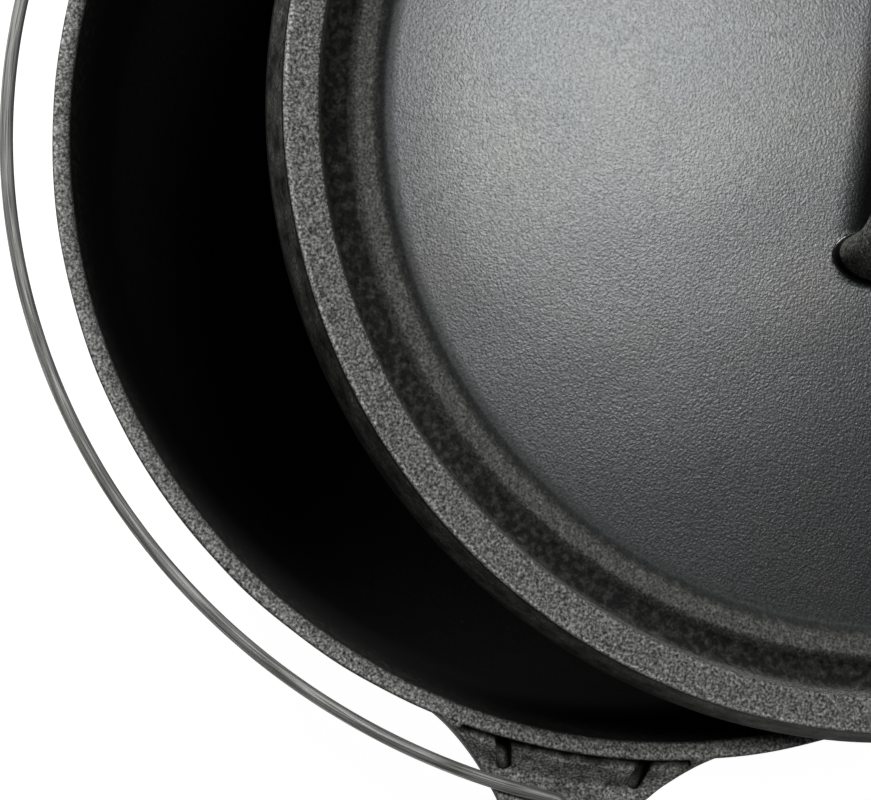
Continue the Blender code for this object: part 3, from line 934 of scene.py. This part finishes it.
def lidProfile():
    dish = pot["rim"] - lid["shift"] - pot["rimWidth"] - lid["dishMargin"]
    beadTop = lid["gutterZ"] + lid["beadHeight"]
    domeStart = lid["floor"] * lid["domeFrom"]
    shares = [step / lid["dishSteps"] for step in range(lid["dishSteps"] + 1)]
    under = [Vector((dish * share, lid["dishDepth"] * (1 - share ** 2))) for share in shares]
    edge = rounded([
        (*under[-1], 0),
        (lid["lipInner"], 0, lid["lipRootRound"]),
        (lid["lipInner"], -lid["lipHeight"], lid["lipRound"]),
        (lid["lip"], -lid["lipHeight"], lid["lipRound"]),
        (lid["lip"], 0, lid["lipRound"]),
        (lid["radius"], 0, lid["edgeRound"]),
        (lid["top"], lid["edge"], lid["topRound"]),
        (lid["bandInner"], lid["edge"], lid["bandRound"]),
        (lid["bandInner"] - lid["gutterSlope"], lid["gutterZ"], lid["gutterRound"]),
        (lid["beadOuter"] + lid["beadFoot"], lid["gutterZ"], lid["beadFootRound"]),
        (lid["beadOuter"] - lid["beadLean"], beadTop, lid["beadRound"]),
        (lid["beadOuter"] - lid["beadWidth"], beadTop - lid["beadFall"], lid["beadRound"]),
        (lid["floor"], lid["gutterZ"], lid["floorRound"]),
        (domeStart, domeHeight(domeStart), 0),
    ])
    dome = []
    for step in range(2, lid["domeSteps"] + 1):     # the first two are in the edge's outline
        radius = lid["floor"] * (1 - step / lid["domeSteps"])
        dome.append(Vector((radius, domeHeight(radius))))
    plain, fine = shaping["ringGap"], shaping["fineGap"]
    return spread(under, plain)[:-1] + spread(edge, fine) + spread(dome, plain)


def loopLump():
    footZ = domeHeight(loop["halfSpan"]) - loop["sink"]
    steps, sides = loop["steps"], loop["sides"]
    path = []
    for step in range(steps + 1):
        turn = pi * step / steps
        side = -1 if cos(turn) > 0 else 1
        x = side * loop["halfSpan"] * abs(cos(turn)) ** loop["shape"]
        z = footZ + (loop["height"] + loop["sink"]) * sin(turn) ** loop["shape"]
        path.append((Vector((x, 0, z)), turn))
    verts = []
    for index, (point, turn) in enumerate(path):
        along = (path[min(index + 1, steps)][0] - path[max(index - 1, 0)][0]).normalized()
        if index in (0, steps):
            along = Vector((0, 0, 1 if index == 0 else -1))
        out = Vector((0, 1, 0)).cross(along)
        grow = 1 + loop["flare"] * abs(cos(turn)) ** loop["flarePower"]
        for part in range(sides):
            angle = 2 * pi * part / sides
            offset = Vector((0, 1, 0)) * (loop["width"] / 2 * grow * cos(angle))
            offset += out * (loop["thick"] / 2 * grow * sin(angle))
            verts.append((point + offset) * mm)
    arch = newPiece("loop", cleanMesh("loop", verts, ringFaces(steps + 1, sides)))

    # the lid's skin under each foot
    lowZ = domeHeight(loop["halfSpan"]) - loop["padThick"]
    disc = [polar(loop["padRadius"], 2 * pi * step / loop["padSides"]) for step in range(loop["padSides"])]
    radii = range(loop["skinRadius"], -1, -loop["skinStep"])
    top = [(radius, domeHeight(radius) - loop["padSink"]) for radius in radii]
    pads = []
    for side in (1, -1):
        aside = Matrix.Translation((side * loop["halfSpan"] * mm, 0, 0))
        pad = pressed("loop_pad", disc, lowZ, lowZ + loop["padHeight"], aside)
        skin = spun("loop_skin", [(0, lowZ - loop["skinDrop"]), *top], loop["skinTurns"])
        pads.append((combined(pad, [(skin, "INTERSECT")]), "UNION"))
    combined(arch, pads)
    return castSoft(arch, loop["voxel"], loop["softPasses"])


def lidPose():
    # the lip's inner edge crosses the rim's outer edge, and the underside rests beyond
    reach = pot["rim"] - pot["rimRound"]
    shift = lid["shift"]
    crossing = (shift ** 2 + reach ** 2 - lid["lipInner"] ** 2) / (2 * shift)
    tilt = atan(lid["lipHeight"] / (reach - crossing))
    height = pot["height"] + ear["seatGap"] + (reach - shift) * tan(tilt)
    middle = polar(shift, lid["shiftAngle"])
    across = Vector((-sin(lid["shiftAngle"]), cos(lid["shiftAngle"]), 0))
    return Matrix.Translation(Vector((middle.x, middle.y, height)) * mm) @ Matrix.Rotation(tilt, 4, across)


# Wear and painted shade on the lid, told in the same way as the pot's.
lidWearAndShade = {
    "underLean": -0.2,          # skin that faces further down is the underside
    "underHeight": 3.0,         # and so is all below this
    # the underside is made black: oil and painted shade
    "under": (0.0, 0.8),
    "bandSkin": 0.8,
    "bandFacing": (0.3, 0.8),
    "edgeFacing": (0.0, 0.4),   # the same on its outer edge, which is polished and given a painted highlight
    # more rubbed along that edge: polish and a painted highlight
    "buffAndHighlight": 0.5,
    "polishFrom": (0.9, 0.5),   # in from that edge
    "innerRubbed": 0.8,         # at least, on the band's inner edge
    "innerWide": 1.0,
    "slopeRubbed": 0.28,
    "slopeMore": 0.25,          # toward its top
    "slopeFrom": (15.0, 3.0),   # below the band's top
    "slopePatch": 0.5,          # more or less, in patches
    # black of oil and painted shade on the sloping outer edge
    "slopeTopFrom": (1.2, 2.4),     # just under the band it isn't rubbed
    "slopeOilAndShade": 0.95,
    # painted shade in the gutter
    "gutter": (0.21, 0.9),
    "wall": (0.58, -0.3),       # added up the gutter's outer wall: painted light, lighter and less shaded toward the band
    "wallFrom": (0.5, 5.0),     # above the gutter
    "wallStart": 4.0,           # out from the bead
    "foot": (0.31, -0.4),       # added at the bead's outer foot
    "footFrom": (1.2, 0.0),     # out from the bead
    "margin": (0.0, 0.09),      # painted shade toward the floor's edge
    "marginFrom": (-18.0, 0.0),     # out from that edge, and so are the next two
    "beadFootShade": (0.0, 0.48),        # more painted shade at the foot of the bead
    "beadFootShadeFrom": (-3.0, 1.5),
    "crown": (0.52, -0.1),      # the bead's top
    "crownFrom": (0.3, 3.4),
}


def shadeAndWearOnLid(place, normal):
    wear = lidWearAndShade
    radius = place.xy.length
    if normal.z < wear["underLean"] or place.z < wear["underHeight"]:
        return wear["under"]
    if place.z > lid["edge"] - wear["bandSkin"]:
        buffAndHighlight = ramp(lid["top"] - radius, *wear["polishFrom"])
        facing = [a + (b - a) * buffAndHighlight for a, b in zip(wear["bandFacing"], wear["edgeFacing"])]
        least = wear["innerRubbed"] if radius < lid["bandInner"] + wear["innerWide"] else 0.0
        return max(ramp(normal.z, *facing), least) + wear["buffAndHighlight"] * buffAndHighlight, 0.0
    if radius > lid["bandInner"]:
        below = lid["edge"] - place.z
        patch = wear["slopePatch"] * noise.noise(place / lid["patch"])
        rubbed = wear["slopeRubbed"] + wear["slopeMore"] * ramp(below, *wear["slopeFrom"]) + patch
        return rubbed * ramp(below, *wear["slopeTopFrom"]), wear["slopeOilAndShade"]
    if radius > lid["beadOuter"]:
        wall = 0.0
        if radius > lid["beadOuter"] + wear["wallStart"]:
            wall = ramp(place.z - lid["gutterZ"], *wear["wallFrom"])
        foot = ramp(radius - lid["beadOuter"], *wear["footFrom"])
        return layered((1, wear["gutter"]), (wall, wear["wall"]), (foot, wear["foot"]))
    out = radius - lid["floor"]
    return layered(*((ramp(out, *wear[key + "From"]), wear[key]) for key in ("margin", "beadFootShade", "crown")))


def makeLid(iron):
    casting = spun("lid_casting", lidProfile(), lid["turns"])
    combined(casting, [(loopLump(), "UNION")], "MANIFOLD")
    markShadeAndWear(casting, shadeAndWearOnLid)
    unevenCast(casting, *lid["uneven"])
    casting.data.transform(lidPose())
    finishPiece(casting, iron, "lid", "lid")


def bailPath():
    hook = [Vector((ear["tip"] + bail["hookTail"], 0, 0))]
    bend = bail["hookBend"]
    for step in range(bail["bendSteps"] + 1):
        angle = pi / 2 * step / bail["bendSteps"]
        hook.append(Vector((ear["legX"] + bend * (1 - sin(angle)), -bend * (1 - cos(angle)), 0)))
    first = acos((bend + bail["hookLeg"]) / ear["legX"])
    bow = []
    for step in range(bail["bowSteps"] + 1):
        angle = first * (1 - 2 * step / bail["bowSteps"])
        radius = bailRadius(angle)
        bow.append(Vector((radius * sin(angle), -radius * cos(angle), 0)))
    return hook + bow + [Vector((-point.x, point.y, 0)) for point in reversed(hook)]


def makeBail(steel):
    path = bailPath()
    radius = bail["wire"] / 2
    # each end is nipped off and filed, so its corner is rounded
    inset = bail["endRound"]
    rounds = []
    for step in range(bail["endSteps"] + 1):
        angle = pi / 2 * step / bail["endSteps"]
        rounds.append((inset * (1 - sin(angle)), radius - inset * (1 - cos(angle))))
    first, last = path[0], path[-1]
    fromFirst = (path[1] - first).normalized()
    fromLast = (path[-2] - last).normalized()
    stations = [(first + fromFirst * along, reach) for along, reach in reversed(rounds)]
    stations += [(point, radius) for point in path[1:-1]]
    stations += [(last + fromLast * along, reach) for along, reach in rounds]
    sides = bail["sides"]
    verts, run, travelled = [], [], 0.0
    for index, (point, reach) in enumerate(stations):
        before = stations[max(index - 1, 0)][0]
        after = stations[min(index + 1, len(stations) - 1)][0]
        travelled += (point - before).length
        out = (after - before).normalized().cross(Vector((0, 0, 1)))
        for part in range(sides):
            angle = 2 * pi * part / sides
            offset = out * (reach * cos(angle)) + Vector((0, 0, reach * sin(angle)))
            verts.append((point + offset) * mm + Vector((0, 0, hingeZ)))
            run.append((travelled * mm, reach * cos(angle) * mm, reach * sin(angle) * mm))
    mesh = cleanMesh("wire_bail", verts, ringFaces(len(stations), sides))
    runLayer = mesh.attributes.new("wireRun", "FLOAT_VECTOR", "POINT")
    runLayer.data.foreach_set("vector", [value for place in run for value in place])
    finishPiece(newPiece("wire_bail", mesh), steel, "bail", "bail_wire")


makeCamera()
makeStudio()
potIron = castIron("seasoned_cast_iron", castIronLook)
makePot(potIron)
makeLid(potIron)
makeBail(drawnSteel(drawnSteelLook))
